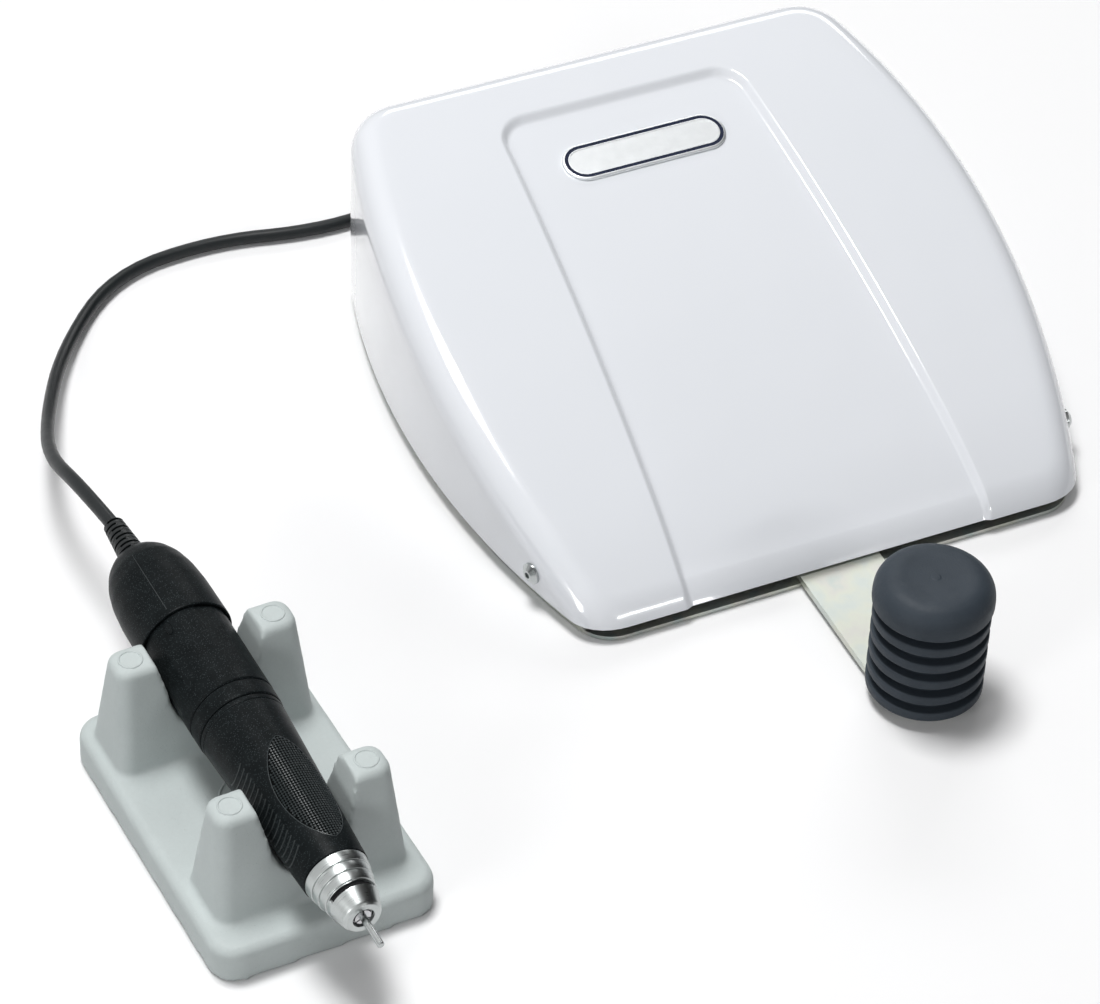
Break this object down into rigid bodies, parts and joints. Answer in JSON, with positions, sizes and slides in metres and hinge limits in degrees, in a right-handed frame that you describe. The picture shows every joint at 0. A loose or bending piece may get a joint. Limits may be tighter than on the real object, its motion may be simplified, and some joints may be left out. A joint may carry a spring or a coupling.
{
  "type": "dental laboratory micromotor with knee control",
  "caption": "White sloping knee-control box with a lever and ribbed upright knob, wired by a thin black lead to a slim motor handpiece lying in a four-post rubber cradle.",
  "frame": {"origin": "centre of the control box's flat mounting face, midway between its bowed sides and between front and rear walls", "axes": "+Z out of the mounting face towards the roof of the box, -Y out of the front edge where the lever comes out, +X to the right seen from the front"},
  "size_m": [0.3756, 0.3995, 0.0754],
  "materials": {
    "cover_white": "gloss",
    "zinc_steel": "zinc plated",
    "bright_steel": "polished",
    "steel": "machined",
    "knob_rubber": "matte",
    "cradle_rubber": "matte",
    "cord_rubber": "satin",
    "hand_black": "satin",
    "black_plastic": "matte",
    "pad_rubber": "matte",
    "aluminium": "satin",
    "bronze": "machined",
    "copper": "enamelled",
    "nickel": "satin nickel",
    "board_green": "lacquered",
    "tape_yellow": "wrapped",
    "carbon": "matte"
  },
  "bodies": {
    "control_box": {"base_tray": "zinc_steel", "cover": "cover_white", "cover_screws": "bright_steel", "badge_plate": "nickel", "rear_panel": "zinc_steel", "mains_inlet": "black_plastic", "inlet_screws": "bright_steel", "fuse_holder": "black_plastic", "power_switch_frame": "black_plastic", "reverse_switch_frame": "black_plastic", "handpiece_socket": "nickel", "transformer": "tape_yellow", "transformer_pad": "pad_rubber", "transformer_clamp": "steel", "circuit_board": "board_green", "board_standoffs": "bronze", "board_screws": "bright_steel", "heat_sink": "aluminium", "capacitors": "black_plastic", "pivot_stud": "steel", "sensor_bracket": "zinc_steel", "speed_sensor": "black_plastic", "return_spring": "steel", "cradle": "cradle_rubber", "handpiece_cord": "cord_rubber", "cord_coil": "cord_rubber", "cord_end": "cord_rubber", "lead_plug": "black_plastic"},
    "knee_lever": {"lever_plate": "zinc_steel", "lever_hub": "steel", "pivot_bush": "bronze", "knob_core": "steel", "knob": "knob_rubber", "knob_screw": "zinc_steel"},
    "power_button": {"power_rocker": "black_plastic"},
    "reverse_button": {"reverse_rocker": "black_plastic"},
    "handpiece": {"nose_cone": "nickel", "grip_sleeve": "hand_black", "front_housing": "aluminium", "spindle_bearings": "bright_steel", "motor_case": "hand_black", "magnets": "nickel", "motor_bearings": "bright_steel", "brush_holder": "black_plastic", "brushes": "carbon", "rear_cap": "hand_black", "strain_relief": "cord_rubber"},
    "chuck": {"chuck_ring": "hand_black"},
    "spindle": {"spindle_tube": "steel", "shaft_coupling": "steel", "motor_shaft": "steel", "rotor_core": "steel", "rotor_windings": "copper", "commutator": "copper"},
    "collet_body": {"collet": "steel"},
    "tool": {"tool_pin": "bright_steel"}
  },
  "joints": [
    {"name": "knee_swing", "type": "hinge", "parent": "control_box", "child": "knee_lever", "pos_m": [0, -0.045, 0.006], "axis": [0, 0, 1], "range_deg": [-15, 15], "stiffness_Nm_per_rad": 0.6},
    {"name": "power_rock", "type": "hinge", "parent": "control_box", "child": "power_button", "pos_m": [0.008, 0.1037, 0.03], "axis": [1, 0, 0], "range_deg": [0, 14]},
    {"name": "reverse_rock", "type": "hinge", "parent": "control_box", "child": "reverse_button", "pos_m": [-0.062, 0.1037, 0.03], "axis": [1, 0, 0], "range_deg": [0, 14]},
    {"name": "handpiece_lift", "type": "slide", "parent": "control_box", "child": "handpiece", "axis": [0, 0, 1], "range_m": [0, 0.06]},
    {"name": "chuck_turn", "type": "hinge", "parent": "handpiece", "child": "chuck", "pos_m": [-0.22097, -0.21549, 0.035], "axis": [-0.0523, 0.9982, 0.0279], "range_deg": [0, 40]},
    {"name": "spindle_spin", "type": "hinge", "parent": "handpiece", "child": "spindle", "pos_m": [-0.22097, -0.21549, 0.035], "axis": [0.0523, -0.9982, -0.0279], "continuous": true},
    {"name": "collet_slide", "type": "slide", "parent": "spindle", "child": "collet_body", "axis": [0.0523, -0.9982, -0.0279], "range_m": [0, 0.0008]},
    {"name": "tool_draw", "type": "slide", "parent": "spindle", "child": "tool", "axis": [0.0523, -0.9982, -0.0279], "range_m": [0, 0.02]}
  ],
  "couplings": [
    {"joint": "collet_slide", "follows": "chuck_turn", "m_per_rad": 0.0011459}
  ]
}
